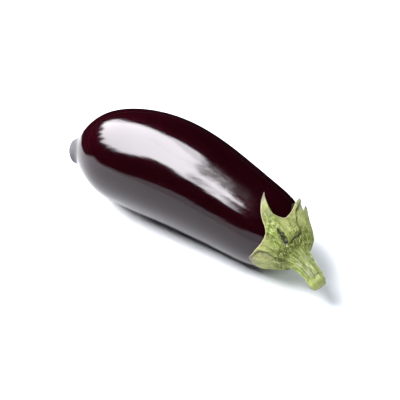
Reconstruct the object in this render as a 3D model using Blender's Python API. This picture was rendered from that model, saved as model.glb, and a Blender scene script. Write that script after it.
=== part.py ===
"""An aubergine (eggplant) lying on its side: the glossy fruit, and the green calyx that grows
into its stem. Metres, +Z up, +X towards the stem, origin in the middle of the flat it rests on.

The fruit is a sphere drawn out along a bowed axis to a turned profile. The calyx and stem are one
loft: it starts at the lobed rim, runs over the shoulder of the fruit and narrows into the stem.
Both are worked out in fruit coordinates: `turn` goes from 0 at the blossom end to pi at the stem
end, and `around` is the angle about the axis, 0 on the far side (+Y) and a quarter turn on top.
"""
import bmesh
import bpy
import numpy as np

# ---- the fruit ---------------------------------------------------------------------------
FRUIT_LENGTH = 0.1986
# The profile: radii at these turns (degrees), closer together round the blossom end's nub.
PROFILE_TURNS = (0.0, 7.5, 15.0, 22.5, 30.0, 37.5, 45.0, 60.0, 75.0, 90.0, 105.0, 120.0, 135.0,
                 150.0, 165.0, 180.0)
PROFILE_RADII = (0.0, 0.0045, 0.0086, 0.0109, 0.0176, 0.0250, 0.0306, 0.0363, 0.0381, 0.0369,
                 0.0340, 0.0310, 0.0276, 0.0198, 0.0100, 0.0)
AXIS_HEIGHTS = (0.0265, 0.0343, 0.0375, 0.0340, 0.0297, 0.0284)   # evenly spaced, blossom to stem
SIDE_BOW = 0.0122                            # how far the middle bows to the far side
SIDE_SWAY = 0.0023                           # the slight S on top of that bow
MIDDLE_TO_ORIGIN = 0.0027                    # the flat lies this far from mid-length
# The near upper side is fuller than round: place along X, spread along X, side and height.
PLUMP_PLACE = 0.0494
PLUMP_SPREAD = 0.0243
PLUMP_SIDE = np.radians(130.0)
PLUMP_HEIGHT = 0.0010
FRUIT_SEGMENTS = 56
FRUIT_RINGS = 38
SMALL_TURN = 0.01                            # slopes are taken over a turn this small
WALK_STEPS = 2000                            # steps in which distances over the skin are added up
FRUIT_COLOUR = (0.020, 0.004, 0.010)
FRUIT_ROUGHNESS = 0.10

# ---- the calyx ---------------------------------------------------------------------------
SKIN_GAP = 0.0003                            # clear air between the calyx and the fruit
RIM_THICKNESS = 0.0009
SHOULDER_THICKNESS = 0.0018                  # flesh of the calyx where it meets the stem
RIB_HEIGHT = 0.0010                          # the rib that runs out to each lobe's tip
RIB_WIDTH = 0.0022
RIB_START = (0.008, 0.016)                   # the rib rises between these distances from the root
RIB_FINISH = (0.030, 0.052)                  # and sinks again between these
ROOT_RING = 0.0104                           # where the calyx starts to rise into the stem
ROOT_SHIFT = (-0.0076, -0.0021)              # the stem grows off-centre: to the near side, down
SHIFT_REACH = 0.0340                         # the shift has faded out this far from the root
LUMP = (-0.0014, 0.0203, 0.0034, 0.0012)     # a swelling: place on the end face, size, height
# Each lobe: angle where its spoke leaves the stem, sideways lean of its tip (degrees), reach
# from the stem's middle, how pointed it is before and after its tip, how far its tip curls off
# the fruit; then the notch that follows it: angle and reach.
LOBES = (
    (8.0, 0.0, 0.0389, 2.2, 2.2, 0.0056, 31.0, 0.0310),
    (51.0, -12.0, 0.0385, 2.2, 2.2, 0.0032, 88.0, 0.0298),
    (112.0, -24.0, 0.0533, 3.0, 3.0, 0.0004, 145.0, 0.0338),
    (182.0, 0.0, 0.0397, 1.5, 0.9, 0.0010, 220.0, 0.0320),
    (254.0, 4.0, 0.0400, 2.2, 2.2, 0.0000, 284.0, 0.0290),
    (312.0, -3.0, 0.0390, 2.2, 2.2, 0.0004, 340.0, 0.0290),
)
LOBE_COLUMNS = 8                             # columns from a lobe's tip to the next notch
COLUMN_CROWDING = 1.5                        # over 1, the columns crowd towards the tips
CAP_ROWS = 12
ROW_SPREAD = 0.9                             # under 1, the rows crowd towards the root
LINING_ROWS = 8
CALYX_COLOUR = (0.42, 0.47, 0.18)
CALYX_ROUGHNESS = 0.60

# ---- the stem ----------------------------------------------------------------------------
# Route from the fruit's end: it leaves the shoulder on the near side and droops as it goes.
STEM_ROUTE = ((-0.0030, -0.0057, -0.0004), (0.0028, -0.0079, -0.0016),
              (0.0116, -0.0115, -0.0046), (0.0210, -0.0156, -0.0084))
STEM_RADII = (0.0090, 0.0077, 0.0060, 0.0065)
STEM_RIDGES = 7
RIDGE_HEIGHT = 0.0005
RIDGE_TWIST = 0.5                            # radians over the length of the stem
STEM_ROWS = 9
STEM_START = 0.18                            # share of the route where the stem leaves the calyx


def smooth_curve(stations, values, at):
    """Natural cubic spline through the stations, so its curvature has no steps."""
    stations, values = np.asarray(stations, float), np.asarray(values, float)
    gap = np.diff(stations)
    slope = np.diff(values) / gap
    inner = np.diag(2.0 * (gap[:-1] + gap[1:])) + np.diag(gap[1:-1], 1) + np.diag(gap[1:-1], -1)
    bend = np.zeros(len(stations))
    bend[1:-1] = np.linalg.solve(inner, 6.0 * np.diff(slope))
    i = np.clip(np.searchsorted(stations, at) - 1, 0, len(gap) - 1)
    left, right = at - stations[i], stations[i + 1] - at
    ends = (bend[i] * right ** 3 + bend[i + 1] * left ** 3) / (6.0 * gap[i])
    line = ((values[i] / gap[i] - bend[i] * gap[i] / 6.0) * right
            + (values[i + 1] / gap[i] - bend[i + 1] * gap[i] / 6.0) * left)
    return ends + line


def smooth_step(low, high, value):
    share = np.clip((value - low) / (high - low), 0.0, 1.0)
    return share * share * (3.0 - 2.0 * share)


def unit(vectors):
    return vectors / np.linalg.norm(vectors, axis=-1, keepdims=True)


# ---- fruit coordinates -------------------------------------------------------------------

def fruit_radius(turn):
    """Distance of the skin from the axis."""
    return smooth_curve(np.radians(PROFILE_TURNS), PROFILE_RADII, turn)


def fruit_axis(turn):
    """The axis: straight along X, bowed sideways in Y, and lying at AXIS_HEIGHTS."""
    share = 0.5 * (1.0 - np.cos(turn))
    both_ends = share * (1.0 - share)
    x = FRUIT_LENGTH * (share - 0.5) + MIDDLE_TO_ORIGIN
    y = 4.0 * SIDE_BOW * both_ends + 8.0 * SIDE_SWAY * both_ends * (1.0 - 2.0 * share)
    z = smooth_curve(np.linspace(0.0, 1.0, len(AXIS_HEIGHTS)), AXIS_HEIGHTS, share)
    return np.stack([x, y - SIDE_BOW, z], -1)


def fruit_frame(turn):
    """Directions along the axis, to the far side of it and up from it."""
    near = np.clip(turn - SMALL_TURN, 0.0, np.pi - 2.0 * SMALL_TURN)
    along = unit(fruit_axis(near + 2.0 * SMALL_TURN) - fruit_axis(near))
    side = unit(np.cross((0.0, 0.0, 1.0), along))
    return along, side, np.cross(along, side)


def plumpness(turn, around):
    """How far the near upper side stands out of the round."""
    from_place = (fruit_axis(turn)[..., 0] - PLUMP_PLACE) / PLUMP_SPREAD
    towards_side = np.maximum(np.cos(around - PLUMP_SIDE), 0.0)
    return PLUMP_HEIGHT * np.exp(-from_place ** 2) * towards_side ** 2


def fruit_skin(turn, around):
    """A point of the skin and the direction straight out of it."""
    along, side, rise = fruit_frame(turn)
    out = np.cos(around)[..., None] * side + np.sin(around)[..., None] * rise
    wider, narrower = fruit_radius(turn + SMALL_TURN), fruit_radius(turn - SMALL_TURN)
    radius_slope = (wider - narrower) / (2.0 * SMALL_TURN)
    axial_speed = 0.5 * FRUIT_LENGTH * np.sin(turn)
    normal = unit(axial_speed[..., None] * out - radius_slope[..., None] * along)
    full_radius = fruit_radius(turn) + plumpness(turn, around)
    return fruit_axis(turn) + full_radius[..., None] * out, normal


def turn_at(distance):
    """The turn at a distance over the skin from the stem end."""
    turns = np.linspace(np.pi, 0.0, WALK_STEPS + 1)
    across, down = np.diff(fruit_radius(turns)), np.diff(0.5 * FRUIT_LENGTH * np.cos(turns))
    walked = np.concatenate([[0.0], np.cumsum(np.hypot(across, down))])
    return np.interp(distance, walked, turns)


# ---- the calyx's outline -----------------------------------------------------------------

def lobe_columns():
    """Spoke angles, crowded towards the lobe tips, with one on every tip and every notch."""
    steps = np.linspace(0.0, 1.0, LOBE_COLUMNS + 1) ** COLUMN_CROWDING
    spokes = []
    for number, lobe in enumerate(LOBES):
        turn_back = 360.0 if number + 1 == len(LOBES) else 0.0
        next_tip = LOBES[(number + 1) % len(LOBES)][0] + turn_back
        tip, notch = lobe[0], lobe[6]
        spokes.append(tip + (notch - tip) * steps[:-1])
        spokes.append(next_tip + (notch - next_tip) * steps[:0:-1])
    return np.concatenate(spokes)


def rim(spokes):
    """Reach, sideways lean and tip curl of each spoke, and its angle from its lobe's rib."""
    reach, lean, curl, off_rib = (np.zeros_like(spokes) for _ in range(4))
    for number, lobe in enumerate(LOBES):
        tip, sway, length, point_before, point_after, lift, notch, notch_reach = lobe
        notch_before, reach_before = LOBES[number - 1][6:]
        sides = ((notch, notch_reach, point_after), (notch_before, reach_before, point_before))
        for edge, edge_reach, point in sides:
            span = (edge - tip + 180.0) % 360.0 - 180.0
            x = ((spokes - tip + 180.0) % 360.0 - 180.0) / span
            here = (x >= 0.0) & (x <= 1.0)
            share = (1.0 - x[here]) ** point
            reach[here] = edge_reach + (length - edge_reach) * share
            lean[here] = sway * share ** 3
            curl[here] = lift * share ** 2
            off_rib[here] = np.radians(x[here] * span)
    return reach, lean, curl, off_rib


def over_fruit(distance, spokes):
    """Turn and angle about the axis of the points this far out from the root along the spokes."""
    around = np.radians(spokes)
    kept = 1.0 - smooth_step(0.0, SHIFT_REACH, distance)
    across = distance * np.cos(around) + ROOT_SHIFT[0] * kept
    up = distance * np.sin(around) + ROOT_SHIFT[1] * kept
    return turn_at(np.hypot(across, up)), np.arctan2(up, across), across, up


def relief(distance, off_rib, across, up):
    """Height of the ribs and of the swelling above the plain calyx."""
    from_rib = distance * np.sin(off_rib) / RIB_WIDTH
    fading = smooth_step(*RIB_START, distance) * (1.0 - smooth_step(*RIB_FINISH, distance))
    from_lump = np.hypot(across - LUMP[0], up - LUMP[1]) / LUMP[2]
    return RIB_HEIGHT * fading * np.exp(-from_rib ** 2) + LUMP[3] * np.exp(-from_lump ** 2)


# ---- the stem's rings --------------------------------------------------------------------

def stem_ring(share, spokes):
    """Points round the stem at a share of its length, in the same spoke angles."""
    end = fruit_axis(np.array([np.pi]))[0]
    route = end + np.array(STEM_ROUTE)
    knots = np.linspace(0.0, 1.0, len(route))
    centre = np.stack([smooth_curve(knots, route[:, i], share) for i in range(3)], -1)
    ahead = np.stack([smooth_curve(knots, route[:, i], share + SMALL_TURN) for i in range(3)], -1)
    along = unit(ahead - centre)
    side = unit(np.cross((0.0, 0.0, 1.0), along))
    rise = np.cross(along, side)
    around = np.radians(spokes)
    out = np.cos(around)[None, :, None] * side[:, None] + np.sin(around)[None, :, None] * rise[:, None]
    radius = smooth_curve(np.linspace(0.0, 1.0, len(STEM_RADII)), STEM_RADII, share)
    ridges = RIDGE_HEIGHT * np.cos(STEM_RIDGES * (around[None, :] + RIDGE_TWIST * share[:, None]))
    return centre[:, None] + (radius[:, None] + ridges)[..., None] * out


# ---- the two bodies ----------------------------------------------------------------------

def material(name, colour, roughness):
    made = bpy.data.materials.new(name)
    made.use_nodes = True
    shader = made.node_tree.nodes["Principled BSDF"]
    shader.inputs["Base Color"].default_value = (*colour, 1.0)
    shader.inputs["Roughness"].default_value = roughness
    shader.inputs["Metallic"].default_value = 0.0
    return made


def add_object(name, mesh, look, collection):
    mesh.materials.append(look)
    mesh.shade_smooth()
    made = bpy.data.objects.new(name, mesh)
    collection.objects.link(made)
    return made


def make_fruit(collection):
    """A sphere whose rings are moved onto the bowed, turned profile, pressed flat below."""
    shape = bmesh.new()
    bmesh.ops.create_uvsphere(shape, u_segments=FRUIT_SEGMENTS, v_segments=FRUIT_RINGS, radius=1.0)
    ball = np.array([vertex.co[:] for vertex in shape.verts])
    turn = np.arccos(np.clip(ball[:, 2], -1.0, 1.0))
    around = np.arctan2(ball[:, 1], ball[:, 0])
    skin, _ = fruit_skin(turn, around)
    skin[:, 2] = np.maximum(skin[:, 2], 0.0)
    for vertex, place in zip(shape.verts, skin):
        vertex.co = place
    bmesh.ops.recalc_face_normals(shape, faces=shape.faces)
    mesh = bpy.data.meshes.new("fruit")
    shape.to_mesh(mesh)
    shape.free()
    look = material("aubergine_skin", FRUIT_COLOUR, FRUIT_ROUGHNESS)
    return add_object("fruit", mesh, look, collection)


def calyx_ring(out_share, inner, spokes, flesh, outline):
    """A ring this share of the way from the root out to the rim, raised off the fruit by flesh."""
    reach, lean, curl, off_rib = outline
    distance = inner + (reach - inner) * out_share
    turn, around, across, up = over_fruit(distance, spokes + lean * out_share ** 3)
    skin, normal = fruit_skin(turn, around)
    height = SKIN_GAP + curl * out_share ** 4
    if flesh > 0.0:
        height = height + flesh + relief(distance, off_rib, across, up)
    return skin + height[:, None] * normal


def calyx_rings(spokes):
    """The lining from the root out to the rim, the outer face back in, and the stem's rings."""
    outline = rim(spokes)
    lining = [calyx_ring(share, 0.0, spokes, 0.0, outline)
              for share in np.linspace(0.0, 1.0, LINING_ROWS + 1)[1:]]
    outer = []
    for step in np.linspace(0.0, 1.0, CAP_ROWS):
        flesh = RIM_THICKNESS + (SHOULDER_THICKNESS - RIM_THICKNESS) * smooth_step(0.0, 1.0, step)
        outer.append(calyx_ring(1.0 - step ** ROW_SPREAD, ROOT_RING, spokes, flesh, outline))
    stem = stem_ring(np.linspace(STEM_START, 1.0, STEM_ROWS), spokes)
    outer[-1] = 0.5 * (outer[-1] + stem[0])
    return np.concatenate([lining, outer, stem[1:]])


def make_calyx_and_stem(collection):
    """One closed loft: outer rings, the cut end of the stem, and the lining under the calyx."""
    spokes = lobe_columns()
    rings = calyx_rings(spokes)
    count, width = len(rings), len(spokes)
    turn, around, _, _ = over_fruit(np.zeros(1), np.zeros(1))
    root, outwards = fruit_skin(turn, around)
    shape = bmesh.new()
    grid = [[shape.verts.new(point) for point in ring] for ring in rings]
    start = shape.verts.new((root + SKIN_GAP * outwards)[0])
    finish = shape.verts.new(rings[-1].mean(axis=0))
    for column in range(width):
        beside = (column + 1) % width
        for row in range(count - 1):
            shape.faces.new((grid[row][column], grid[row][beside],
                             grid[row + 1][beside], grid[row + 1][column]))
        shape.faces.new((start, grid[0][beside], grid[0][column]))
        shape.faces.new((finish, grid[-1][column], grid[-1][beside]))
    bmesh.ops.triangulate(shape, faces=shape.faces)
    bmesh.ops.recalc_face_normals(shape, faces=shape.faces)
    mesh = bpy.data.meshes.new("calyx_and_stem")
    shape.to_mesh(mesh)
    shape.free()
    look = material("calyx_green", CALYX_COLOUR, CALYX_ROUGHNESS)
    return add_object("calyx_and_stem", mesh, look, collection)


def main():
    for old in list(bpy.data.objects):
        bpy.data.objects.remove(old, do_unlink=True)
    collection = bpy.data.collections.new("aubergine")
    bpy.context.scene.collection.children.link(collection)
    make_fruit(collection)
    make_calyx_and_stem(collection)


main()
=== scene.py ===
"""An aubergine (eggplant) lying on its side on a white table, lit by one large softbox.

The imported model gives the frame: the fruit, and the calyx that grows into the stem. Both are
rebuilt here as fine surfaces with the same measures, in metres, +X towards the stem and +Z up.
Fruit coordinates: `turn` goes from 0 at the blossom end to pi at the stem end, and `around` is
the angle about the axis, 0 on the far side (+Y) and a quarter turn on top.
"""

import bpy
import numpy as np
from mathutils import Matrix, Vector


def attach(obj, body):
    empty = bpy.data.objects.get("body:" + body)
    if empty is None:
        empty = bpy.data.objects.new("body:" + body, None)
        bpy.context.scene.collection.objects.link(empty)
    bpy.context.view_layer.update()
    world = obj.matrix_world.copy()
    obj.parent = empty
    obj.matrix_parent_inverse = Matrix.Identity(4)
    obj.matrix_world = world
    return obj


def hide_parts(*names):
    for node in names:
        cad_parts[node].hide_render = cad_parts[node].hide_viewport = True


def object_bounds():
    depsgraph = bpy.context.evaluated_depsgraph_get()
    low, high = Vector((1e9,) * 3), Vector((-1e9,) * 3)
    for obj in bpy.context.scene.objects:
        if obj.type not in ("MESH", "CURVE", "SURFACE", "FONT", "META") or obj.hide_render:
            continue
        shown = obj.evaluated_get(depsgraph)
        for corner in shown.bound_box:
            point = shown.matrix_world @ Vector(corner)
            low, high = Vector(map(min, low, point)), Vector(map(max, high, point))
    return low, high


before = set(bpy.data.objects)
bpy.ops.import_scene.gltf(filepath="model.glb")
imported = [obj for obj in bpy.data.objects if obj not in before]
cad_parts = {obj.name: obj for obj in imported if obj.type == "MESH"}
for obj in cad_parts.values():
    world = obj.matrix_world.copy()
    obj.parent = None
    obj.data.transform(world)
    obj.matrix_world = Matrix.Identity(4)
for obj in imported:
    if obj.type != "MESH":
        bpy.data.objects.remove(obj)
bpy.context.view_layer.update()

# ---- measures shared with the solids -----------------------------------------------------
FRUIT_LENGTH = 0.1986
# The profile: radii at these turns (degrees), closer together round the blossom end's nub.
PROFILE_TURNS = (0.0, 7.5, 15.0, 22.5, 30.0, 37.5, 45.0, 60.0, 75.0, 90.0, 105.0, 120.0, 135.0,
                 150.0, 165.0, 180.0)
PROFILE_RADII = (0.0, 0.0045, 0.0086, 0.0109, 0.0176, 0.0250, 0.0306, 0.0363, 0.0381, 0.0369,
                 0.0340, 0.0310, 0.0276, 0.0198, 0.0100, 0.0)
AXIS_HEIGHTS = (0.0265, 0.0343, 0.0375, 0.0340, 0.0297, 0.0284)   # evenly spaced, blossom to stem
SIDE_BOW = 0.0122                            # how far the middle bows to the far side
SIDE_SWAY = 0.0023                           # the slight S on top of that bow
MIDDLE_TO_ORIGIN = 0.0027                    # the flat lies this far from mid-length
# The near upper side is fuller than round: place along X, spread along X, side and height.
PLUMP_PLACE = 0.0494
PLUMP_SPREAD = 0.0243
PLUMP_SIDE = np.radians(130.0)
PLUMP_HEIGHT = 0.0010
SMALL_TURN = 0.01                            # slopes are taken over a turn this small
SMALL_SHARE = 0.01                           # and the stem's direction over this much of it
WALK_STEPS = 2000                            # steps in which distances over the skin are added up
SKIN_GAP = 0.0003                            # clear air between the calyx and the fruit
RIM_THICKNESS = 0.0009
SHOULDER_THICKNESS = 0.0018                  # flesh of the calyx where it meets the stem
RIB_HEIGHT = 0.0010                          # the rib that runs out to each lobe's tip
RIB_WIDTH = 0.0022
RIB_START = (0.008, 0.016)                   # the rib rises between these distances from the root
RIB_FINISH = (0.030, 0.052)                  # and sinks again between these
ROOT_SHIFT = (-0.0076, -0.0021)              # the stem grows off-centre: to the near side, down
SHIFT_REACH = 0.0340                         # the shift has faded out this far from the root
# Each lobe: angle where its spoke leaves the stem, sideways lean of its tip (degrees), reach
# from the stem's middle, how pointed it is before and after its tip, how far its tip curls off
# the fruit; then the notch that follows it: angle and reach.
LOBES = (
    (8.0, 0.0, 0.0389, 2.2, 2.2, 0.0056, 31.0, 0.0310),
    (51.0, -12.0, 0.0385, 2.2, 2.2, 0.0032, 88.0, 0.0298),
    (112.0, -24.0, 0.0533, 3.0, 3.0, 0.0004, 145.0, 0.0338),
    (182.0, 0.0, 0.0397, 1.5, 0.9, 0.0010, 220.0, 0.0320),
    (254.0, 4.0, 0.0400, 2.2, 2.2, 0.0000, 284.0, 0.0290),
    (312.0, -3.0, 0.0390, 2.2, 2.2, 0.0004, 340.0, 0.0290),
)
# Route from the fruit's end: it leaves the shoulder on the near side and droops as it goes.
STEM_ROUTE = ((-0.0030, -0.0057, -0.0004), (0.0028, -0.0079, -0.0016),
              (0.0116, -0.0115, -0.0046), (0.0210, -0.0156, -0.0084))
STEM_RADII = (0.0090, 0.0077, 0.0060, 0.0065)
STEM_RIDGES = 7
RIDGE_HEIGHT = 0.0005
RIDGE_TWIST = 0.5                            # radians over the length of the stem
STEM_START = 0.18                            # share of the route where the stem leaves the calyx
ROOT_RING = 0.0104                           # where the calyx starts to rise into the stem

# ---- fine detail, only here --------------------------------------------------------------
FRUIT_GRID = (280, 224)                      # rings along the fruit, points in each
LOBE_COLUMNS = 46                            # columns from a lobe's tip to the next notch
COLUMN_CROWDING = 1.25                       # over 1, the columns crowd towards the tips
CAP_ROWS = 84
ROW_CROWDING = 1.15                          # over 1, the rows crowd towards the rim
ROW_SPREAD = 0.9                             # under 1, the rows crowd towards the root
LINING_ROWS = 18
STEM_ROWS = 56
END_ROWS = 10
SWELLING = 0.00003                           # slow unevenness of the fruit
SCAR_TURN = 0.48                             # the dry blossom scar covers the nub this far round
# Places on the stem end of the fruit are (across, up) over the skin from the fruit's own end.
# A fleshy knuckle, with a ragged split beside it, and a fold that hooks round below both.
KNUCKLE = ((-0.0102, 0.0198), (-0.0069, 0.0199), (-0.0035, 0.0190), (-0.0004, 0.0180))
KNUCKLE_HEIGHT = 0.0013
SPLIT = ((-0.0143, 0.0265), (-0.0136, 0.0245), (-0.0132, 0.0210), (-0.0130, 0.0173),
         (-0.0129, 0.0136))
SPLIT_HALF_WIDTH = 0.0023
SPLIT_DEPTH = 0.0020
FOLD = ((0.0300, 0.0215), (0.0215, 0.0258), (0.0137, 0.0268), (0.0099, 0.0257), (0.0065, 0.0237),
        (0.0040, 0.0218), (0.0030, 0.0202), (0.0038, 0.0176), (0.0028, 0.0156), (-0.0018, 0.0148),
        (-0.0064, 0.0150), (-0.0086, 0.0142), (-0.0110, 0.0132))
FOLD_HALF_WIDTH = 0.0009
FOLD_DEPTH = 0.0016
# The crease arches over the near lobe, and the liveliest green runs down inside that edge.
CREASE = ((-0.0385, 0.0004), (-0.0357, 0.0061), (-0.0325, 0.0093), (-0.0292, 0.0094),
          (-0.0270, 0.0082), (-0.0248, 0.0062), (-0.0222, 0.0038), (-0.0193, 0.0022),
          (-0.0172, 0.0008))
CREASE_HALF_WIDTH = 0.0007
CREASE_DEPTH = 0.0009
CREASE_BROW = 0.0012                         # the swelling above the crease
LIVELY = ((-0.0135, 0.0380), (-0.0160, 0.0325), (-0.0188, 0.0268), (-0.0205, 0.0205),
          (-0.0195, 0.0150), (-0.0175, 0.0110))
LIVELY_HALF_WIDTH = 0.0045
FIBRE_HEIGHT = 0.00026
WRINKLE_HEIGHT = 0.00032
DIMPLE_HEIGHT = 0.00030
FIBRE_CELLS = 560.0                          # to the metre
FIBRE_STRETCH = (1.0, 1.0, 0.14)             # fibres are about seven times as long as wide
STRAND_STRETCH = (1.0, 1.0, 0.34)
# The first two masks paint shade into the calyx's colour: in its grooves and in its low relief. The
# one for pale threads also paints a highlight on the stem, and the one for the face under the
# crease is partly painted light.
MASKS = ("deep", "tone", "lively", "mossy", "faded", "dry", "pale", "threads")
THINNEST_FLESH = 0.0003                      # left under the deepest groove
LIE_RADIUS = 0.02                            # patterns are laid out on a tube of this radius
STEM_LIE = -0.03                             # and the stem's run this far down it
END_DOME = 0.0005                            # how far the cut end bulges
ROOT_MOSS = (0.0150, 0.0225)                 # the dark wrinkled green fades out between these
NOTCH_SHARE = 0.78                           # where a small notch crosses the stem
NOTCH_ANGLE = 1.50                           # and on which side, in radians round the stem
BLEACHED_ANGLE = 1.95                        # the lit side of the stem, with a painted highlight


# ---- colours, each pair from the darker streaks to the lighter -----------------------------
SKIN_COLOURS = ((0.0060, 0.0002, 0.0010), (0.0100, 0.0004, 0.0018))
SCAR_COLOURS = ((0.070, 0.068, 0.074), (0.108, 0.106, 0.115))
OLIVE = ((0.245, 0.272, 0.082), (0.345, 0.370, 0.130))
FRESH = ((0.125, 0.180, 0.015), (0.245, 0.300, 0.055))
MOSS = ((0.090, 0.110, 0.008), (0.215, 0.240, 0.030))
DRIED = ((0.115, 0.110, 0.080), (0.270, 0.230, 0.170))
# Paler face under the crease: partly its own faded colour, partly painted light on a face that
# hangs in shade.
FADED = (0.400, 0.385, 0.200)
# Painted shade laid into the calyx's low relief: wrinkles, fibre grooves and dimples.
WRINKLE_SHADE = (0.085, 0.100, 0.014)
PIT = (0.055, 0.070, 0.008)
FLECK = (0.480, 0.540, 0.250)
PALE_RIM = (0.370, 0.325, 0.190)
# Painted shade, nearly black, in the split, the fold, the crease and the stem's notch.
DEEP_SHADE = (0.030, 0.029, 0.009)
# Pale threads in the split; along the stem's lit side the same colour is a painted highlight.
THREAD = (0.440, 0.460, 0.340)
SKIN_IOR = 1.39
SKIN_ROUGHNESS = (0.07, 0.13)
SCAR_DULLNESS = 0.45                         # added to the roughness over the scar
SHINE = (0.5, 0.08)                          # specular level of the skin, and of its scar
SKIN_BUMP = 0.00003
CALYX_ROUGHNESS = 0.55
CALYX_SHINE = 0.15
CALYX_BUMP = 0.0003


# ---- the studio --------------------------------------------------------------------------
# Two long strips: the key runs from low beyond the blossom end up over the near side, and a
# weaker one stands over the stem end. The skin doesn't mirror them. It mirrors a softbox face
# square to KEY_DIRECTION, a dark card and a white card, which light nothing.
KEY_STRIP = {"facing": (-0.84, -0.02, 0.54), "roll": -0.50, "distance": 1.45, "slide": 0.38,
             "width": 0.87, "length": 2.75, "radiance": 16.7, "colour": (1.0, 1.0, 1.0)}
FILL_STRIP = {"facing": (0.79, 0.36, 0.50), "roll": 0.58, "distance": 1.45, "slide": 1.30,
              "width": 0.70, "length": 4.6, "radiance": 3.8, "colour": (0.90, 0.94, 1.0)}
KEY_DIRECTION = (-0.64, 0.0, 0.77)
PANEL_DISTANCE = 1.5
PANEL_GRID = (291, 285)
PANEL_REACH = ((-1.10, 0.70), (-0.90, 0.86))   # across it and along it
PANEL_GLOW = 28.0
PANEL_COLOUR = (0.965, 0.95, 1.0)
# Places on the panel are (across, along) as shares of its distance: across to the far side,
# along it up over the stem. Outside the corners it is unlit.
PANEL_CORNERS = ((0.50, -0.64), (0.60, -0.44), (0.50, -0.10), (0.46, 0.30), (0.54, 0.60),
                 (0.54, 0.74), (0.34, 0.796), (0.12, 0.802), (0.04, 0.785), (-0.10, 0.781),
                 (-0.20, 0.768), (-0.32, 0.776), (-0.50, 0.805), (-0.58, 0.73), (-0.74, 0.685),
                 (-0.94, 0.66), (-1.00, 0.60), (-0.84, 0.565), (-0.74, 0.48), (-0.66, 0.28),
                 (-0.68, 0.00), (-0.66, -0.15), (-0.42, -0.34), (-0.09, -0.42))
PANEL_SOFT = ((-0.9, 0.8), (0.20, 0.010))      # width of its soft edge at two places along
PANEL_LEVEL = ((-0.5, 0.1, 0.7), (0.74, 1.02, 1.16))   # brightness at three places along
PANEL_SEAM = ((0.43, -0.20), (0.42, 0.15), (0.37, 0.37), (0.27, 0.57), (0.15, 0.72),
              (0.10, 0.80), (0.05, 0.90))
PANEL_WRINKLE = ((0.085, 0.245), (-0.03, 0.376), (-0.13, 0.51), (-0.195, 0.65), (-0.16, 0.73),
                 (-0.05, 0.776))
# The dark card lies on the table past the blossom end and on the far side. The white one stands
# beyond the near side.
CARD_COLOUR = (0.91, 0.93, 1.0)
DARK_CARD = ((-3.0, -2.03, 0.001), (-0.217, -0.055, 0.001), (-0.198, -0.006, 0.001),
             (-0.188, 0.019, 0.001), (-0.150, 0.036, 0.001), (3.0, 0.036, 0.001),
             (3.0, 6.0, 0.001), (-6.0, 6.0, 0.001))
DARK_CARD_GLOW = 0.015
WHITE_CARD = ((-0.9, -1.5, 0.0), (1.5, -1.5, 0.0), (1.5, -1.5, 0.62), (0.05, -1.5, 0.55))
WHITE_CARD_GLOW = 2.0
FLOOR_REACH = 12.0
FLOOR_COLOUR = (0.84, 0.86, 0.90)
FLOOR_FADE = (0.35, 1.50)                    # from here to here the floor turns plain white
CAMERA_AZIMUTH = np.radians(31.7)            # round from the near side towards the stem
CAMERA_ELEVATION = np.radians(45.0)
CAMERA_DISTANCE = 0.95
CAMERA_AIM = Vector((0.0160, -0.0102, 0.0322))


# ---- curves and noise --------------------------------------------------------------------

def smooth_curve(stations, values, at):
    """Natural cubic spline through the stations, so its curvature has no steps."""
    stations, values = np.asarray(stations, float), np.asarray(values, float)
    gap = np.diff(stations)
    slope = np.diff(values) / gap
    inner = np.diag(2.0 * (gap[:-1] + gap[1:])) + np.diag(gap[1:-1], 1) + np.diag(gap[1:-1], -1)
    bend = np.zeros(len(stations))
    bend[1:-1] = np.linalg.solve(inner, 6.0 * np.diff(slope))
    i = np.clip(np.searchsorted(stations, at) - 1, 0, len(gap) - 1)
    left, right = at - stations[i], stations[i + 1] - at
    ends = (bend[i] * right ** 3 + bend[i + 1] * left ** 3) / (6.0 * gap[i])
    line = ((values[i] / gap[i] - bend[i] * gap[i] / 6.0) * right
            + (values[i + 1] / gap[i] - bend[i + 1] * gap[i] / 6.0) * left)
    return ends + line


def smooth_step(low, high, value):
    """0 below low, 1 above high, and an S curve between."""
    share = np.clip((value - low) / (high - low), 0.0, 1.0)
    return share * share * (3.0 - 2.0 * share)


def bell(away, half_width):
    """1 at no distance, falling smoothly on both sides to about a third at the half width."""
    return np.exp(-(away / half_width) ** 2)


def unit(vectors):
    return vectors / np.linalg.norm(vectors, axis=-1, keepdims=True)


def noise(places, cells, seed):
    """Value noise from -1 to 1: random heights on a lattice of `cells` to the metre, blended
    between its corners with a curve whose slope and bend are nothing at each corner."""
    lattice = np.random.default_rng(seed).uniform(-1.0, 1.0, (32, 32, 32))
    scaled = places * cells
    corner = np.floor(scaled).astype(int)
    part = scaled - corner
    fade = part ** 3 * (part * (part * 6.0 - 15.0) + 10.0)
    total = np.zeros(places.shape[:-1])
    for step in np.ndindex(2, 2, 2):
        weight = np.prod(np.where(step, fade, 1.0 - fade), axis=-1)
        index = tuple(np.moveaxis((corner + step) % 32, -1, 0))
        total += weight * lattice[index]
    return total


def layered_noise(places, cells, seed, layers=3):
    """Noise with each layer twice as fine and half as strong as the last."""
    return sum(0.5 ** n * noise(places, cells * 2.0 ** n, seed + n) for n in range(layers))


# ---- fruit coordinates -------------------------------------------------------------------

def fruit_radius(turn):
    """Distance of the skin from the axis."""
    return smooth_curve(np.radians(PROFILE_TURNS), PROFILE_RADII, turn)


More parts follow.
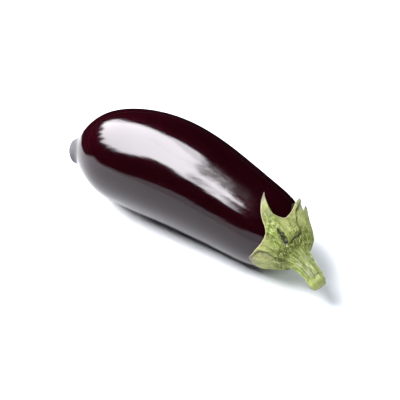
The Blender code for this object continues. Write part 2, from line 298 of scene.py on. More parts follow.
def fruit_axis(turn):
    """The axis: straight along X, bowed sideways in Y, and lying at AXIS_HEIGHTS."""
    share = 0.5 * (1.0 - np.cos(turn))
    both_ends = share * (1.0 - share)
    x = FRUIT_LENGTH * (share - 0.5) + MIDDLE_TO_ORIGIN
    y = 4.0 * SIDE_BOW * both_ends + 8.0 * SIDE_SWAY * both_ends * (1.0 - 2.0 * share)
    z = smooth_curve(np.linspace(0.0, 1.0, len(AXIS_HEIGHTS)), AXIS_HEIGHTS, share)
    return np.stack([x, y - SIDE_BOW, z], -1)


def fruit_frame(turn):
    """Directions along the axis, to the far side of it and up from it."""
    near = np.clip(turn - SMALL_TURN, 0.0, np.pi - 2.0 * SMALL_TURN)
    along = unit(fruit_axis(near + 2.0 * SMALL_TURN) - fruit_axis(near))
    side = unit(np.cross((0.0, 0.0, 1.0), along))
    return along, side, np.cross(along, side)


def plumpness(turn, around):
    """How far the near upper side stands out of the round."""
    from_place = (fruit_axis(turn)[..., 0] - PLUMP_PLACE) / PLUMP_SPREAD
    towards_side = np.maximum(np.cos(around - PLUMP_SIDE), 0.0)
    return PLUMP_HEIGHT * np.exp(-from_place ** 2) * towards_side ** 2


def fruit_skin(turn, around):
    """A point of the skin and the direction straight out of it."""
    along, side, rise = fruit_frame(turn)
    out = np.cos(around)[..., None] * side + np.sin(around)[..., None] * rise
    wider, narrower = fruit_radius(turn + SMALL_TURN), fruit_radius(turn - SMALL_TURN)
    radius_slope = (wider - narrower) / (2.0 * SMALL_TURN)
    axial_speed = 0.5 * FRUIT_LENGTH * np.sin(turn)
    normal = unit(axial_speed[..., None] * out - radius_slope[..., None] * along)
    full_radius = fruit_radius(turn) + plumpness(turn, around)
    return fruit_axis(turn) + full_radius[..., None] * out, normal


def turn_at(distance):
    """The turn at a distance over the skin from the stem end."""
    turns = np.linspace(np.pi, 0.0, WALK_STEPS + 1)
    across, down = np.diff(fruit_radius(turns)), np.diff(0.5 * FRUIT_LENGTH * np.cos(turns))
    walked = np.concatenate([[0.0], np.cumsum(np.hypot(across, down))])
    return np.interp(distance, walked, turns)


# ---- meshes ------------------------------------------------------------------------------

def grid_mesh(name, rings, start, finish):
    """A closed skin over rings of points, with a point at each end where the rings close."""
    count, width = rings.shape[:2]
    points = np.concatenate([rings.reshape(-1, 3), [start, finish]])
    row, column = np.meshgrid(np.arange(count - 1), np.arange(width), indexing="ij")
    beside = (column + 1) % width
    quads = np.stack([row * width + column, row * width + beside,
                      (row + 1) * width + beside, (row + 1) * width + column], -1).reshape(-1, 4)
    around = np.arange(width)
    following = (around + 1) % width
    last = (count - 1) * width
    fans = np.concatenate([
        np.stack([np.full(width, count * width), following, around], -1),
        np.stack([np.full(width, count * width + 1), last + around, last + following], -1)])
    mesh = bpy.data.meshes.new(name)
    mesh.from_pydata(points.tolist(), [], quads.tolist() + fans.tolist())
    mesh.shade_smooth()
    return mesh


def add_values(mesh, name, values, at_start, at_finish):
    """One number for each point of a grid_mesh, for its material to read."""
    layer = mesh.attributes.new(name, "FLOAT", "POINT")
    whole = np.append(values.ravel(), [at_start, at_finish])
    layer.data.foreach_set("value", whole.astype(np.float32))


def add_places(mesh, name, places, at_start, at_finish):
    """One place for each point of a grid_mesh, for patterns that follow the growth."""
    layer = mesh.attributes.new(name, "FLOAT_VECTOR", "POINT")
    whole = np.concatenate([places.reshape(-1, 3), [at_start, at_finish]])
    layer.data.foreach_set("vector", whole.astype(np.float32).ravel())


def add_piece(name, mesh, look, node):
    """Puts a piece at the origin with its material, to stand in for a node of the solids."""
    piece = bpy.data.objects.new(name, mesh)
    bpy.context.scene.collection.objects.link(piece)
    mesh.materials.append(look)
    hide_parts(node)
    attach(piece, "root")


# ---- the fruit ---------------------------------------------------------------------------

def fruit_mesh():
    """Skin at (turn, around), uneven by slow noise where it is bare, and flat where it rests.
    Its scar attribute is 1 over the blossom end's nub and 0 past a frayed edge."""
    turn = np.linspace(0.0, np.pi, FRUIT_GRID[0] + 2)[1:-1, None]
    around = np.linspace(0.0, 2.0 * np.pi, FRUIT_GRID[1], endpoint=False)[None, :]
    turn, around = np.broadcast_arrays(turn, around)
    skin, normal = fruit_skin(turn, around)
    bare = smooth_step(0.50, 1.00, turn) * (1.0 - smooth_step(2.20, 2.51, turn))
    swelling = SWELLING * bare * layered_noise(skin * (0.4, 1.0, 1.0), 40.0, 11, 2)
    skin = skin + swelling[..., None] * normal
    skin[..., 2] = np.maximum(skin[..., 2], 0.0)
    ends, _ = fruit_skin(np.array([0.0001, np.pi - 0.0001]), np.zeros(2))
    mesh = grid_mesh("fruit_skin", skin, ends[0], ends[1])
    edge = SCAR_TURN + 0.02 * layered_noise(skin, 260.0, 13, 2)
    add_values(mesh, "scar", 1.0 - smooth_step(edge - 0.08, edge + 0.03, turn), 1.0, 0.0)
    return mesh


# ---- the calyx and the stem --------------------------------------------------------------

def lobe_columns():
    """Spoke angles, crowded towards the lobe tips, with one on every tip and every notch."""
    steps = np.linspace(0.0, 1.0, LOBE_COLUMNS + 1) ** COLUMN_CROWDING
    spokes = []
    for number, lobe in enumerate(LOBES):
        turn_back = 360.0 if number + 1 == len(LOBES) else 0.0
        next_tip = LOBES[(number + 1) % len(LOBES)][0] + turn_back
        tip, notch = lobe[0], lobe[6]
        spokes.append(tip + (notch - tip) * steps[:-1])
        spokes.append(next_tip + (notch - next_tip) * steps[:0:-1])
    return np.concatenate(spokes)


def rim(spokes):
    """Reach, sideways lean, tip curl, angle from the lobe's rib, and share towards the tip."""
    reach, lean, curl, off_rib, tip_share = (np.zeros_like(spokes) for _ in range(5))
    for number, lobe in enumerate(LOBES):
        tip, sway, length, point_before, point_after, lift, notch, notch_reach = lobe
        notch_before, reach_before = LOBES[number - 1][6:]
        sides = ((notch, notch_reach, point_after), (notch_before, reach_before, point_before))
        for edge, edge_reach, point in sides:
            span = (edge - tip + 180.0) % 360.0 - 180.0
            x = ((spokes - tip + 180.0) % 360.0 - 180.0) / span
            here = (x >= 0.0) & (x <= 1.0)
            share = (1.0 - x[here]) ** point
            reach[here] = edge_reach + (length - edge_reach) * share
            lean[here] = sway * share ** 3
            curl[here] = lift * share ** 2
            off_rib[here] = np.radians(x[here] * span)
            tip_share[here] = share
    torn = 0.03 * np.stack([np.cos(np.radians(spokes)), np.sin(np.radians(spokes)), reach], -1)
    return reach + 0.0003 * layered_noise(torn, 420.0, 97, 3), lean, curl, off_rib, tip_share


def over_fruit(distance, spokes):
    """Turn and angle about the axis of the points this far out from the root along the spokes."""
    around = np.radians(spokes)
    kept = 1.0 - smooth_step(0.0, SHIFT_REACH, distance)
    across = distance * np.cos(around) + ROOT_SHIFT[0] * kept
    up = distance * np.sin(around) + ROOT_SHIFT[1] * kept
    return turn_at(np.hypot(across, up)), np.arctan2(up, across), across, up


def from_line(line, across, up):
    """Distance to a line of points, share along it, and the side (left of it is positive)."""
    nearest = np.full(across.shape, 1e9)
    share, side = np.zeros(across.shape), np.zeros(across.shape)
    pieces = len(line) - 1
    for number in range(pieces):
        (x0, y0), (x1, y1) = line[number], line[number + 1]
        dx, dy = x1 - x0, y1 - y0
        t = np.clip(((across - x0) * dx + (up - y0) * dy) / (dx * dx + dy * dy), 0.0, 1.0)
        away = np.hypot(across - x0 - t * dx, up - y0 - t * dy)
        closer = away < nearest
        nearest = np.where(closer, away, nearest)
        share = np.where(closer, (number + t) / pieces, share)
        side = np.where(closer, np.sign(dx * (up - y0) - dy * (across - x0)), side)
    return nearest, share, side


def split_relief(places, ragged):
    """The split: a sunk strip with raised lips. Pale threads line its left side and its foot."""
    away, share, side = from_line(SPLIT, places[..., 0], places[..., 1])
    half_width = SPLIT_HALF_WIDTH * (0.10 + 0.90 * np.sin(0.72 * np.pi * share)) * ragged
    inside = 1.0 - smooth_step(0.60 * half_width, half_width, away)
    lips = bell(away - 1.3 * half_width, 0.0006)
    threads = bell(away * side + 0.62 * half_width, 0.00035) * smooth_step(0.30, 0.45, share)
    threads = threads + bell(away - 0.0011, 0.0004) * (share > 0.999)
    threads = threads + 0.35 * inside * smooth_step(-0.2, 0.6, layered_noise(places, 800.0, 59, 2))
    fraying = smooth_step(-0.30, 0.30, layered_noise(places, 1100.0, 57, 2))
    return 0.0004 * lips - SPLIT_DEPTH * inside, inside, np.clip(threads, 0.0, 1.0) * fraying


def fold_relief(places, ragged):
    """The fold: a groove, and along its first half a swelling on its right."""
    away, share, side = from_line(FOLD, places[..., 0], places[..., 1])
    inside = bell(away, FOLD_HALF_WIDTH * ragged) * smooth_step(0.02, 0.12, share)
    swelling = bell(away, 0.0030) * (side < 0) * (1.0 - smooth_step(0.5, 0.6, share))
    return 0.0007 * swelling - FOLD_DEPTH * inside, inside


def crease_relief(places, ragged):
    """The crease: a brow above the line, a groove just below it, and under that a paler face,
    partly its own faded colour and partly painted light.
    """
    away, share, side = from_line(CREASE, places[..., 0], places[..., 1])
    signed = away * side
    shape = np.sin(np.pi * np.clip(share, 0.06, 0.94)) ** 0.5
    above = smooth_step(-0.0003, 0.0004, signed)
    inside = bell(signed + 0.0006, CREASE_HALF_WIDTH * ragged) * shape
    below = (1.0 - above) * bell(away, 0.0065) * shape
    return CREASE_BROW * shape * above * bell(away, 0.0034) - CREASE_DEPTH * inside, inside, below


def relief(distance, off_rib, across, up, lie):
    """Height of the calyx above its plain face, and the masks that go with it. Ribs run out to
    the lobe tips and fibres run along the spokes; wrinkles crowd round the stem; the knuckle,
    split, fold and crease follow their lines."""
    from_rib = distance * np.sin(off_rib)
    fading = smooth_step(*RIB_START, distance) * (1.0 - smooth_step(*RIB_FINISH, distance))
    rib = fading * bell(from_rib, 0.6 * RIB_WIDTH)
    height = RIB_HEIGHT * fading * bell(from_rib, RIB_WIDTH)

    places = np.stack([across, up, np.zeros_like(up)], -1)
    lively = bell(from_line(LIVELY, across, up)[0], LIVELY_HALF_WIDTH)
    mossy = 1.0 - smooth_step(*ROOT_MOSS, distance + 0.0015 * noise(places, 300.0, 61))
    rough = np.clip(0.22 + 0.45 * lively + mossy, 0.0, 1.0)
    fibres = layered_noise(lie * FIBRE_STRETCH, FIBRE_CELLS, 21)
    wrinkles = 0.6 - 2.4 * np.abs(layered_noise(places, FIBRE_CELLS, 31, 2))
    dimples = layered_noise(places, 130.0, 41, 2)
    height = height + rough * (FIBRE_HEIGHT * fibres + WRINKLE_HEIGHT * wrinkles)
    height = height + DIMPLE_HEIGHT * dimples
    # Painted shade follows the relief: the lower the fibres, wrinkles and dimples, the darker the
    # colour.
    tone = 0.5 + rough * (0.30 * fibres + 0.42 * wrinkles) + 0.08 * dimples + 0.08 * fibres

    away, share, _ = from_line(KNUCKLE, across, up)
    knuckle = bell(away, 0.0012 + 0.0010 * share)
    height = height + knuckle * (KNUCKLE_HEIGHT * (0.5 + 0.5 * share) + WRINKLE_HEIGHT * wrinkles)
    # The raised knuckle comes out lighter, free of that painted shade.
    tone = tone + knuckle * (0.30 + 0.60 * wrinkles)

    ragged = 1.0 + 0.40 * layered_noise(places, 700.0, 51, 2)
    split_height, in_split, threads = split_relief(places, ragged)
    fold_height, in_fold = fold_relief(places, ragged)
    crease_height, in_crease, faded = crease_relief(places, ragged)
    # Painted shade in the split, the fold and the crease, held off where pale threads lie.
    deep = np.clip(in_split + 0.90 * in_fold + 0.90 * in_crease, 0.0, 1.0) * (1.0 - threads)
    lively = np.clip(lively + 0.4 * rib + 0.35 * knuckle, 0.0, 1.0)
    masks = {"deep": deep, "tone": np.clip(tone, 0.0, 1.0), "lively": lively,
             "mossy": mossy * (1.0 - knuckle), "faded": faded, "threads": threads}
    return height + split_height + fold_height + crease_height, masks


def calyx_ring(out_share, inner, spokes, flesh, outline):
    """A ring this share of the way from the root out to the rim, raised off the fruit by flesh.
    Returns its points, its masks, and its places along the growth."""
    reach, lean, curl, off_rib, tip_share = outline
    distance = inner + (reach - inner) * out_share
    turn, around, across, up = over_fruit(distance, spokes + lean * out_share ** 3)
    skin, normal = fruit_skin(turn, around)
    angle = np.radians(spokes)
    lie = np.stack([LIE_RADIUS * np.cos(angle), LIE_RADIUS * np.sin(angle), distance], -1)
    height = SKIN_GAP + curl * out_share ** 4
    masks = {name: np.zeros_like(spokes) for name in MASKS}
    masks["tone"] = np.full_like(spokes, 0.5)
    if flesh > 0.0:
        raised, found = relief(distance, off_rib, across, up, lie)
        masks.update(found)
        kept = 1.0 - smooth_step(0.90, 1.0, out_share)
        height = height + flesh + np.maximum(raised * kept, THINNEST_FLESH - flesh)
    tip_dry = smooth_step(0.60, 0.96, tip_share) * smooth_step(0.84, 0.97, out_share)
    ageing = 0.40 * smooth_step(0.20, 0.75, tip_share) * smooth_step(0.55, 0.85, out_share)
    patchy = smooth_step(-0.6, 0.5, layered_noise(lie, 420.0, 67, 3))
    masks["dry"] = np.maximum(tip_dry, ageing * patchy)
    masks["pale"] = smooth_step(0.966, 0.994, out_share) * (1.0 - masks["dry"])
    return skin + height[:, None] * normal, masks, lie


def stem_frame(shares):
    """Middle of the stem at these shares of its length, and the directions along it, to its side
    and up from it."""
    route = fruit_axis(np.array([np.pi]))[0] + np.array(STEM_ROUTE)
    knots = np.linspace(0.0, 1.0, len(route))
    centre = np.stack([smooth_curve(knots, route[:, i], shares) for i in range(3)], -1)
    ahead = np.stack([smooth_curve(knots, route[:, i], shares + SMALL_SHARE) for i in range(3)], -1)
    along = unit(ahead - centre)
    side = unit(np.cross((0.0, 0.0, 1.0), along))
    return centre, along, side, np.cross(along, side)


def stem_ring(shares, spokes, inset=0.0):
    """Rings round the stem at these shares of its length, in the calyx's own spoke angles: a
    tapered tube with ridges, fibres and a notch, drawn in by inset over the cut end."""
    centre, along, side, rise = stem_frame(shares)
    angle, share = np.radians(spokes)[None, :], shares[:, None]
    out = np.cos(angle)[..., None] * side[:, None] + np.sin(angle)[..., None] * rise[:, None]
    twist = angle + RIDGE_TWIST * share
    lie = np.stack([LIE_RADIUS * np.cos(twist), LIE_RADIUS * np.sin(twist),
                    np.broadcast_to(STEM_LIE * share, twist.shape)], -1)
    ridges = 0.5 - 2.2 * np.abs(layered_noise(lie * (1.0, 1.0, 0.16), 210.0, 71, 2))
    fibres = layered_noise(lie * FIBRE_STRETCH, FIBRE_CELLS, 21)
    bumps = layered_noise(lie, 300.0, 81, 3)
    worn = 1.0 - 0.80 * smooth_step(NOTCH_SHARE - 0.02, NOTCH_SHARE + 0.08, share)
    big_ridges = RIDGE_HEIGHT * np.cos(STEM_RIDGES * twist)
    height = worn * (0.0006 * ridges + 0.0003 * fibres + 0.0003 * bumps + big_ridges)
    on_top = smooth_step(0.60, 0.95, np.cos(angle - NOTCH_ANGLE))
    past_notch = share - NOTCH_SHARE - 0.03 * (angle - NOTCH_ANGLE) - 0.03 * bumps
    notch = bell(past_notch, 0.018) * on_top
    radius = smooth_curve(np.linspace(0.0, 1.0, len(STEM_RADII)), STEM_RADII, share)
    rounded = 1.0 - 0.26 * smooth_step(0.86, 1.0, share) ** 2
    outline = (radius + height - 0.0006 * notch) * rounded * (1.0 - inset)

    # On the stem's lit side the strands are painted pale: a painted highlight along them.
    strands = smooth_step(0.05, 0.45, layered_noise(lie * STRAND_STRETCH, 760.0, 83, 3))
    bleached = bell(np.sin(0.5 * (angle - BLEACHED_ANGLE)), 0.34) * smooth_step(0.22, 0.40, share)
    # Painted shade along the stem: the grooves between its ridges and fibres darken the colour.
    tone = np.clip(0.56 + worn * (0.75 * ridges + 0.60 * fibres + 0.20 * bumps), 0.0, 1.0)
    masks = {name: np.zeros_like(tone) for name in MASKS}
    # The notch gets painted shade.
    masks.update(deep=0.85 * notch, tone=tone, lively=0.35 + 0.45 * worn + np.zeros_like(tone),
                 threads=0.85 * worn * bleached * strands)
    return centre[:, None] + outline[..., None] * out, masks, lie, along


def calyx_rings(spokes):
    """The lining from the root out to the rim, then the outer face back in to the stem."""
    outline = rim(spokes)
    rings = [calyx_ring(share, 0.0, spokes, 0.0, outline)
             for share in np.linspace(0.0, 1.0, LINING_ROWS + 1)[1:]]
    rings.append(calyx_ring(1.008, ROOT_RING, spokes, 0.5 * RIM_THICKNESS, outline))
    for step in np.linspace(0.0, 1.0, CAP_ROWS) ** ROW_CROWDING:
        flesh = RIM_THICKNESS + (SHOULDER_THICKNESS - RIM_THICKNESS) * smooth_step(0.0, 0.9, step)
        rings.append(calyx_ring(1.0 - step ** ROW_SPREAD, ROOT_RING, spokes, flesh, outline))
    return rings


def stem_rings(spokes):
    """The rings along the stem, then those that close in over its grainy, slightly domed end."""
    points, masks, lie, along = stem_ring(np.linspace(STEM_START, 1.0, STEM_ROWS), spokes)
    rings = [(points[row], {name: values[row] for name, values in masks.items()}, lie[row])
             for row in range(STEM_ROWS)]
    for inset in np.linspace(0.0, 1.0, END_ROWS + 2)[1:-1] ** 0.7:
        points, masks, lie, _ = stem_ring(np.ones(1), spokes, inset)
        grain = 0.00012 * layered_noise(points[0], 900.0, 91, 2)
        dome = END_DOME * np.sqrt(1.0 - (1.0 - inset) ** 2) + grain
        here = {name: values[0] for name, values in masks.items()}
        here["deep"] = np.zeros_like(spokes)
        here["faded"] = np.full_like(spokes, 0.4 * smooth_step(0.0, 0.25, inset))
        rings.append((points[0] + dome[:, None] * along[-1], here, lie[0]))
    return rings


def calyx_and_stem_mesh():
    """One closed skin: the lining, the outer face, the stem and its cut end. The calyx's last
    ring and the stem's first are one, half-way between the two."""
    spokes = lobe_columns()
    calyx, stem = calyx_rings(spokes), stem_rings(spokes)
    (points, masks, _), (stem_points, stem_masks, stem_lie) = calyx.pop(), stem[0]
    shared = {name: 0.5 * (masks[name] + stem_masks[name]) for name in MASKS}
    stem[0] = (0.5 * (points + stem_points), shared, stem_lie)
    rings = calyx + stem
    turn, around, _, _ = over_fruit(np.zeros(1), np.zeros(1))
    root, outwards = fruit_skin(turn, around)
    points = np.array([ring[0] for ring in rings])
    start = (root + SKIN_GAP * outwards)[0]
    mesh = grid_mesh("calyx_and_stem_skin", points, start, points[-1].mean(axis=0))
    for name in MASKS:
        add_values(mesh, name, np.array([ring[1][name] for ring in rings]), 0.0, 0.5)
    places = np.array([ring[2] for ring in rings])
    add_places(mesh, "lie", places, (0.0, 0.0, 0.0), (0.0, 0.0, STEM_LIE))
    return mesh


# ---- materials ---------------------------------------------------------------------------

def new_material(name):
    made = bpy.data.materials.new(name)
    made.use_nodes = True
    return made, made.node_tree.nodes, made.node_tree.links, made.node_tree.nodes["Principled BSDF"]


def read_value(nodes, name, output="Fac"):
    """The values that a mesh holds under this name."""
    layer = nodes.new("ShaderNodeAttribute")
    layer.attribute_name = name
    return layer.outputs[output]


def feed(links, socket, given):
    """Gives a socket another node's value, or a plain number or colour."""
    if isinstance(given, bpy.types.NodeSocket):
        links.new(given, socket)
    else:
        socket.default_value = given if isinstance(given, float) else (*given, 1.0)


def mix_colour(nodes, links, factor, low, high):
    """From the low colour to the high one as the factor goes from 0 to 1."""
    mix = nodes.new("ShaderNodeMix")
    mix.data_type = "RGBA"
    for socket, given in ((mix.inputs[0], factor), (mix.inputs[6], low), (mix.inputs[7], high)):
        feed(links, socket, given)
    return mix.outputs[2]


def arithmetic(nodes, links, operation, *values):
    step = nodes.new("ShaderNodeMath")
    step.operation = operation
    for socket, given in zip(step.inputs, values):
        feed(links, socket, given)
    return step.outputs[0]


def map_range(nodes, links, value, source, result):
    """Carries the source span over to the result span, held at both ends."""
    level = nodes.new("ShaderNodeMapRange")
    for name, number in zip(("From Min", "From Max", "To Min", "To Max"), (*source, *result)):
        level.inputs[name].default_value = number
    links.new(value, level.inputs["Value"])
    return level.outputs["Result"]


def add_bump(nodes, links, shader, height, strength, distance):
    bump = nodes.new("ShaderNodeBump")
    bump.inputs["Strength"].default_value = strength
    bump.inputs["Distance"].default_value = distance
    links.new(height, bump.inputs["Height"])
    links.new(bump.outputs["Normal"], shader.inputs["Normal"])


def streaks_group():
    """Fine lengthwise streaks: noise on a place squashed along the growth, spread out so that
    Low gives 0 and High gives 1."""
    group = bpy.data.node_groups.new("lengthwise_streaks", "ShaderNodeTree")
    for name, kind in (("Place", "NodeSocketVector"), ("Squash", "NodeSocketVector"),
                       ("Fineness", "NodeSocketFloat"), ("Low", "NodeSocketFloat"),
                       ("High", "NodeSocketFloat")):
        group.interface.new_socket(name, in_out="INPUT", socket_type=kind)
    group.interface.new_socket("Mask", in_out="OUTPUT", socket_type="NodeSocketFloat")
    nodes, links = group.nodes, group.links
    given, put_out = nodes.new("NodeGroupInput"), nodes.new("NodeGroupOutput")
    squash, grain = nodes.new("ShaderNodeVectorMath"), nodes.new("ShaderNodeTexNoise")
    level = nodes.new("ShaderNodeMapRange")
    squash.operation = "MULTIPLY"
    grain.inputs["Detail"].default_value = 4.0
    grain.inputs["Roughness"].default_value = 0.6
    links.new(given.outputs["Place"], squash.inputs[0])
    links.new(given.outputs["Squash"], squash.inputs[1])
    links.new(squash.outputs[0], grain.inputs["Vector"])
    links.new(given.outputs["Fineness"], grain.inputs["Scale"])
    links.new(grain.outputs["Fac"], level.inputs["Value"])
    links.new(given.outputs["Low"], level.inputs["From Min"])
    links.new(given.outputs["High"], level.inputs["From Max"])
    links.new(level.outputs["Result"], put_out.inputs["Mask"])
    return group


def streak_mask(nodes, links, streaks, place, squash, fineness, low, high):
    """The mask of one use of the streaks group, its fineness in cells to the metre."""
    placed = nodes.new("ShaderNodeGroup")
    placed.node_tree = streaks
    links.new(place, placed.inputs["Place"])
    placed.inputs["Squash"].default_value = squash
    placed.inputs["Fineness"].default_value = fineness
    placed.inputs["Low"].default_value = low
    placed.inputs["High"].default_value = high
    return placed.outputs["Mask"]


def skin_material(streaks):
    """Blackish purple wax: clear, very glossy, streaked along the fruit. Where the blossom was it
    is dry, pale grey and dull."""
    made, nodes, links, shader = new_material("aubergine_skin")
    place = nodes.new("ShaderNodeTexCoord").outputs["Object"]
    fine = streak_mask(nodes, links, streaks, place, (0.10, 1.0, 1.0), 900.0, 0.35, 0.70)
    middling = streak_mask(nodes, links, streaks, place, (0.12, 1.0, 1.0), 260.0, 0.30, 0.70)
    broad = streak_mask(nodes, links, streaks, place, (0.30, 1.0, 1.0), 60.0, 0.35, 0.65)
    scar = read_value(nodes, "scar")
    colour = mix_colour(nodes, links, broad, *SKIN_COLOURS)
    colour = mix_colour(nodes, links, scar, colour, mix_colour(nodes, links, fine, *SCAR_COLOURS))
    links.new(colour, shader.inputs["Base Color"])
    rough = map_range(nodes, links, fine, (0.0, 1.0), SKIN_ROUGHNESS)
    rough = arithmetic(nodes, links, "MULTIPLY_ADD", scar, SCAR_DULLNESS, rough)
    links.new(rough, shader.inputs["Roughness"])
    shine = map_range(nodes, links, scar, (0.0, 1.0), SHINE)
    links.new(shine, shader.inputs["Specular IOR Level"])
    shader.inputs["IOR"].default_value = SKIN_IOR
    height = arithmetic(nodes, links, "MULTIPLY_ADD", fine, 0.12, middling)
    add_bump(nodes, links, shader, height, 1.0, SKIN_BUMP)
    return made


def calyx_material(streaks):
    """Fibrous olive green, livelier and mossier where those masks say, with painted shade in its
    wrinkles and grooves, dark pits and pale flecks; buff at the rim, dry at the tips, painted shade
    nearly black in the cracks, pale threads, a painted highlight along the stem's lit side, and a
    paler face under the crease that is partly painted light."""
    made, nodes, links, shader = new_material("calyx_green")
    lie = read_value(nodes, "lie", "Vector")
    fibres = streak_mask(nodes, links, streaks, lie, (1.0, 1.0, 0.20), 700.0, 0.36, 0.66)
    patches = streak_mask(nodes, links, streaks, lie, (1.0, 1.0, 0.80), 150.0, 0.35, 0.65)
    flecks = streak_mask(nodes, links, streaks, lie, (1.0, 1.0, 0.50), 950.0, 0.50, 0.64)
    pits = streak_mask(nodes, links, streaks, lie, (1.0, 1.0, 0.70), 850.0, 0.52, 0.62)
    lively, mossy = read_value(nodes, "lively"), read_value(nodes, "mossy")
    green = mix_colour(nodes, links, lively, mix_colour(nodes, links, patches, *OLIVE),
                       mix_colour(nodes, links, fibres, *FRESH))
    green = mix_colour(nodes, links, mossy, green, mix_colour(nodes, links, fibres, *MOSS))
    # Paler face under the crease: partly its own faded colour, partly painted light.
    green = mix_colour(nodes, links, read_value(nodes, "faded"), green, FADED)
    # Painted shade: the lower the relief, the more of the dark wrinkle colour.
    shade = map_range(nodes, links, read_value(nodes, "tone"), (0.10, 0.58), (0.9, 0.0))
    green = mix_colour(nodes, links, shade, green, WRINKLE_SHADE)
    speckled = arithmetic(nodes, links, "MAXIMUM", lively, mossy)
    speckled = map_range(nodes, links, speckled, (0.0, 1.0), (0.15, 0.75))
    for mask, colour in ((pits, PIT), (flecks, FLECK)):
        level = arithmetic(nodes, links, "MULTIPLY", mask, speckled)
        green = mix_colour(nodes, links, level, green, colour)
    green = mix_colour(nodes, links, read_value(nodes, "pale"), green, PALE_RIM)
    dried = mix_colour(nodes, links, patches, *DRIED)
    green = mix_colour(nodes, links, read_value(nodes, "dry"), green, dried)
    # Painted shade, nearly black, in the split, fold, crease and notch.
    green = mix_colour(nodes, links, read_value(nodes, "deep"), green, DEEP_SHADE)
    # Pale threads, and a painted highlight along the stem's lit side.
    green = mix_colour(nodes, links, read_value(nodes, "threads"), green, THREAD)
    links.new(green, shader.inputs["Base Color"])
    shader.inputs["Roughness"].default_value = CALYX_ROUGHNESS
    shader.inputs["Specular IOR Level"].default_value = CALYX_SHINE
    add_bump(nodes, links, shader, fibres, 0.6, CALYX_BUMP)
    return made


# ---- the stage ---------------------------------------------------------------------------

def add_table():
    """A wide white table top at the height that the fruit rests on. Far from the fruit, where the
    lights no longer reach it, it glows to the camera alone, so that it runs on into the white."""
    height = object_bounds()[0][2]
    corners = [(x * FLOOR_REACH, y * FLOOR_REACH, height)
               for x, y in ((-1, -1), (1, -1), (1, 1), (-1, 1))]
    mesh = bpy.data.meshes.new("table_top")
    mesh.from_pydata(corners, [], [(0, 1, 2, 3)])
    made, nodes, links, shader = new_material("white_table")
    shader.inputs["Base Color"].default_value = (*FLOOR_COLOUR, 1.0)
    shader.inputs["Emission Color"].default_value = (1.0, 1.0, 1.0, 1.0)
    shader.inputs["Roughness"].default_value = 0.9
    shader.inputs["Specular IOR Level"].default_value = 0.1
    far_off = nodes.new("ShaderNodeVectorMath")
    far_off.operation = "LENGTH"
    links.new(nodes.new("ShaderNodeTexCoord").outputs["Object"], far_off.inputs[0])
    level = map_range(nodes, links, far_off.outputs["Value"], FLOOR_FADE, (0.0, 1.0))
    level.node.interpolation_type = "SMOOTHSTEP"
    to_camera = nodes.new("ShaderNodeLightPath").outputs["Is Camera Ray"]
    seen = arithmetic(nodes, links, "MULTIPLY", level, to_camera)
    links.new(seen, shader.inputs["Emission Strength"])
    mesh.materials.append(made)
    table = bpy.data.objects.new("table_top", mesh)
    bpy.context.scene.collection.objects.link(table)


def make_world():
    """A dark studio beyond the table: plain white to look at, nearly black to reflect."""
    world = bpy.data.worlds.new("studio")
    bpy.context.scene.world = world
    world.use_nodes = True
    nodes, links = world.node_tree.nodes, world.node_tree.links
    to_camera = nodes.new("ShaderNodeLightPath").outputs["Is Camera Ray"]
    level = map_range(nodes, links, to_camera, (0.0, 1.0), (0.01, 1.0))
    links.new(level, nodes["Background"].inputs["Strength"])
    nodes["Background"].inputs["Color"].default_value = (1.0, 1.0, 1.0, 1.0)


def add_strip_light(name, strip):
    """A long strip light that faces the fruit, slid along its own length. Its power is its
    radiance times its area times pi. It lights the scene, but the skin doesn't mirror it."""
    light = bpy.data.lights.new(name, "AREA")
    light.shape = "RECTANGLE"
    light.size, light.size_y = strip["width"], strip["length"]
    light.energy = strip["radiance"] * strip["width"] * strip["length"] * np.pi
    light.color = strip["colour"]
    lamp = bpy.data.objects.new(name, light)
    facing = Vector(strip["facing"]).normalized()
    roll = Matrix.Rotation(strip["roll"], 4, "Z")
    lamp.matrix_world = facing.to_track_quat("Z", "Y").to_matrix().to_4x4() @ roll
    slide = lamp.matrix_world.to_3x3() @ Vector((0.0, strip["slide"], 0.0))
    lamp.location = facing * strip["distance"] + slide
    lamp.visible_glossy = False
    bpy.context.scene.collection.objects.link(lamp)


def add_mirrored(name, corners, faces, colour, glow):
    """Studio gear that is seen in the skin's reflections and nowhere else. It glows as glow says,
    one value for all of it or one for each corner."""
    mesh = bpy.data.meshes.new(name)
    mesh.from_pydata(corners, [], faces)
    layer = mesh.attributes.new("glow", "FLOAT", "POINT")
    layer.data.foreach_set("value", np.broadcast_to(glow, len(corners)).astype(np.float32))
    made = bpy.data.materials.new(name)
    made.use_nodes = True
    nodes, links = made.node_tree.nodes, made.node_tree.links
    nodes.remove(nodes["Principled BSDF"])
    emission = nodes.new("ShaderNodeEmission")
    emission.inputs["Color"].default_value = (*colour, 1.0)
    links.new(read_value(nodes, "glow"), emission.inputs["Strength"])
    links.new(emission.outputs[0], nodes["Material Output"].inputs["Surface"])
    mesh.materials.append(made)
    thing = bpy.data.objects.new(name, mesh)
    bpy.context.scene.collection.objects.link(thing)
    thing.visible_camera = False
    thing.visible_diffuse = False
    thing.visible_transmission = False
    thing.visible_volume_scatter = False
    thing.visible_shadow = False


def inside_outline(corners, x, y):
    """Distance to an outline of corners, positive inside it: inside is where a line drawn out
    along x crosses the outline an odd number of times."""
    away, crossings = np.full(x.shape, 1e9), np.zeros(x.shape, int)
    for (x0, y0), (x1, y1) in zip(corners, corners[1:] + corners[:1]):
        dx, dy = x1 - x0, y1 - y0
        share = np.clip(((x - x0) * dx + (y - y0) * dy) / (dx * dx + dy * dy), 0.0, 1.0)
        away = np.minimum(away, np.hypot(x - x0 - share * dx, y - y0 - share * dy))
        level = (y0 > y) != (y1 > y)
        crossings += level & (x < x0 + dx * (y - y0) / (dy if dy else 1.0))
    return np.where(crossings % 2 == 1, away, -away)


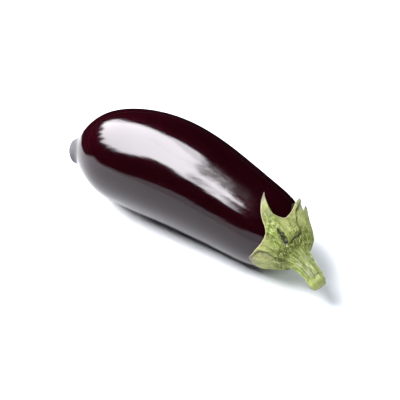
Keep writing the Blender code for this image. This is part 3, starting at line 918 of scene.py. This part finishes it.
def add_softbox_face():
    """The lit face of the softbox, square to the key's direction: a grid whose glow fades out
    over its streaky soft edge, and whose seam and wrinkle are a little dimmer."""
    across, along = (np.linspace(*reach, count) for reach, count in zip(PANEL_REACH, PANEL_GRID))
    across, along = np.meshgrid(across, along)
    soft = np.interp(along, *PANEL_SOFT)
    streaks = layered_noise(np.stack([across, 0.15 * along, np.zeros_like(along)], -1), 24.0, 7, 3)
    inwards = inside_outline(PANEL_CORNERS, across, along) + 0.45 * soft * streaks
    glow = smooth_step(-0.5 * soft, 0.5 * soft, inwards) * np.interp(along, *PANEL_LEVEL)
    away, _, side = from_line(PANEL_SEAM, across, along)
    glow = glow * (1.0 - 0.28 * smooth_step(-0.02, 0.02, -away * side))
    glow = glow * (1.0 - 0.18 * bell(from_line(PANEL_WRINKLE, across, along)[0], 0.012))
    facing = unit(np.array(KEY_DIRECTION))
    to_far_side = np.array((0.0, 1.0, 0.0))
    up_over_stem = np.cross(to_far_side, facing)
    points = PANEL_DISTANCE * (facing + across[..., None] * to_far_side
                               + along[..., None] * up_over_stem)
    rows, columns = across.shape
    row, column = np.meshgrid(np.arange(rows - 1), np.arange(columns - 1), indexing="ij")
    first = row * columns + column
    quads = np.stack([first, first + 1, first + columns + 1, first + columns], -1).reshape(-1, 4)
    add_mirrored("softbox_face", points.reshape(-1, 3).tolist(), quads.tolist(), PANEL_COLOUR,
                 PANEL_GLOW * glow.ravel())


def add_camera():
    """Looks down at 45 degrees from the near side, a third of the way round to the stem."""
    level = np.cos(CAMERA_ELEVATION)
    back = Vector((np.sin(CAMERA_AZIMUTH) * level, -np.cos(CAMERA_AZIMUTH) * level,
                   np.sin(CAMERA_ELEVATION)))
    camera = bpy.data.cameras.new("camera")
    camera.sensor_width = 36.0
    camera.lens = 120.0
    camera.clip_start = 0.01
    eye = bpy.data.objects.new("camera", camera)
    eye.location = CAMERA_AIM + CAMERA_DISTANCE * back
    eye.rotation_euler = back.to_track_quat("Z", "Y").to_euler()
    bpy.context.scene.collection.objects.link(eye)
    bpy.context.scene.camera = eye


def make_scene():
    streaks = streaks_group()
    add_piece("fruit_skin", fruit_mesh(), skin_material(streaks), "fruit")
    add_piece("calyx_and_stem_skin", calyx_and_stem_mesh(), calyx_material(streaks),
              "calyx_and_stem")
    add_camera()
    add_table()
    make_world()
    add_strip_light("key_strip", KEY_STRIP)
    add_strip_light("fill_strip", FILL_STRIP)
    add_softbox_face()
    for name, card, glow in (("dark_card", DARK_CARD, DARK_CARD_GLOW),
                             ("white_card", WHITE_CARD, WHITE_CARD_GLOW)):
        add_mirrored(name, card, [tuple(range(len(card)))], CARD_COLOUR, glow)
    bpy.context.scene.view_settings.view_transform = "Standard"


make_scene()
